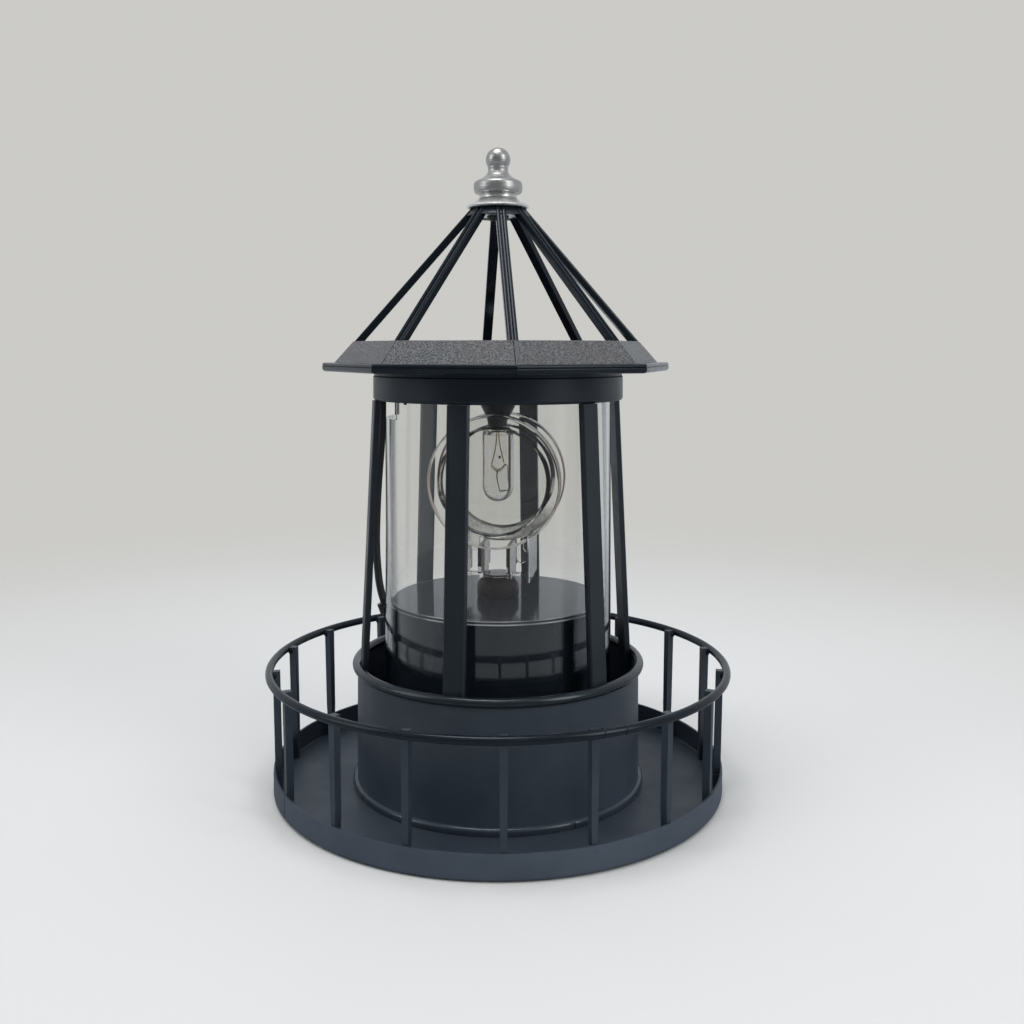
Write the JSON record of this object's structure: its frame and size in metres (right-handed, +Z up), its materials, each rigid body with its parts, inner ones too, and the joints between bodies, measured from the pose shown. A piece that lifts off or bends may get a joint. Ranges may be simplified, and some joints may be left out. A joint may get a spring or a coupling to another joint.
{
  "type": "garden lighthouse lantern ornament",
  "caption": "Black metal lighthouse-top garden lantern: round railed gallery tray, drum, leaning posts, open octagonal roof with silver finial, and a clear tube with a turning beacon lens.",
  "frame": {"origin": "centre of the underside of the tray, on the surface it stands on", "axes": "+Z up along the tower axis, -Y towards the viewer of the picture, +X to the viewer's right"},
  "size_m": [0.15, 0.15, 0.2069],
  "materials": {
    "black_paint": "semi-gloss",
    "pebbled_black": "pebbled",
    "silver": "bright",
    "dark_steel": "blackened",
    "steel": "satin",
    "clear_plastic": "clear",
    "bulb_glass": "clear",
    "brass_wire": "satin",
    "matte_black_plastic": "matte",
    "gloss_black_plastic": "gloss",
    "solar_cell": "gloss",
    "cable_rubber": "matte",
    "battery_wrap": "gloss",
    "circuit_board": "satin",
    "white_plastic": "satin",
    "hub_plastic": "satin"
  },
  "bodies": {
    "frame": {"tray_pan": "black_paint", "railing_bars": "black_paint", "railing_ring": "black_paint", "drum_shell": "black_paint", "drum_foot_ring": "black_paint", "lantern_collar": "black_paint", "clear_tube": "clear_plastic", "bulb_glass": "bulb_glass", "bulb_filament": "brass_wire", "bulb_socket": "matte_black_plastic", "socket_plate": "matte_black_plastic", "lamp_cap": "matte_black_plastic", "cap_screws": "steel", "solar_panel": "solar_cell", "power_cable": "cable_rubber", "cable_grommet": "cable_rubber", "motor_housing": "gloss_black_plastic", "housing_base": "matte_black_plastic", "base_screws": "steel", "battery": "battery_wrap", "battery_contacts": "steel", "control_board": "circuit_board", "switch_body": "matte_black_plastic", "gear_plate": "white_plastic", "idler_pin": "steel", "motor": "steel", "lantern_post_1": "black_paint", "lantern_post_2": "black_paint", "lantern_post_3": "black_paint", "lantern_post_4": "black_paint", "lantern_post_5": "black_paint", "lantern_post_6": "black_paint"},
    "roof": {"roof_seat_ring": "black_paint", "roof_eave_rim": "black_paint", "roof_band": "pebbled_black", "roof_rib_1": "black_paint", "roof_rib_2": "black_paint", "roof_rib_3": "black_paint", "roof_rib_4": "black_paint", "roof_rib_5": "black_paint", "roof_rib_6": "black_paint", "roof_rib_7": "black_paint", "roof_rib_8": "black_paint", "roof_apex_plate": "black_paint", "finial": "silver", "finial_washer": "silver", "finial_screw": "dark_steel"},
    "optic": {"output_gear": "white_plastic", "rotor_hub": "hub_plastic", "lens_carrier": "clear_plastic", "front_lens": "clear_plastic", "rear_lens": "clear_plastic"},
    "idler": {"idler_gear": "white_plastic"},
    "pinion": {"motor_pinion": "white_plastic"},
    "switch": {"switch_slider": "matte_black_plastic"}
  },
  "joints": [
    {"name": "beacon_turn", "type": "hinge", "parent": "frame", "child": "optic", "pos_m": [0, 0, 0.0597], "axis": [0, 0, 1], "continuous": true},
    {"name": "idler_turn", "type": "hinge", "parent": "frame", "child": "idler", "pos_m": [0.01466, 0.00534, 0.048], "axis": [0, 0, 1], "continuous": true},
    {"name": "pinion_turn", "type": "hinge", "parent": "frame", "child": "pinion", "pos_m": [0.00686, 0.01885, 0.048], "axis": [0, 0, 1], "continuous": true},
    {"name": "roof_lift", "type": "slide", "parent": "frame", "child": "roof", "axis": [0, 0, 1], "range_m": [0, 0.08]},
    {"name": "switch_slide", "type": "slide", "parent": "frame", "child": "switch", "axis": [1, 0, 0], "range_m": [0, 0.004]}
  ],
  "couplings": [
    {"joint": "idler_turn", "follows": "beacon_turn", "ratio": -3.3333},
    {"joint": "pinion_turn", "follows": "beacon_turn", "ratio": 11.111}
  ]
}
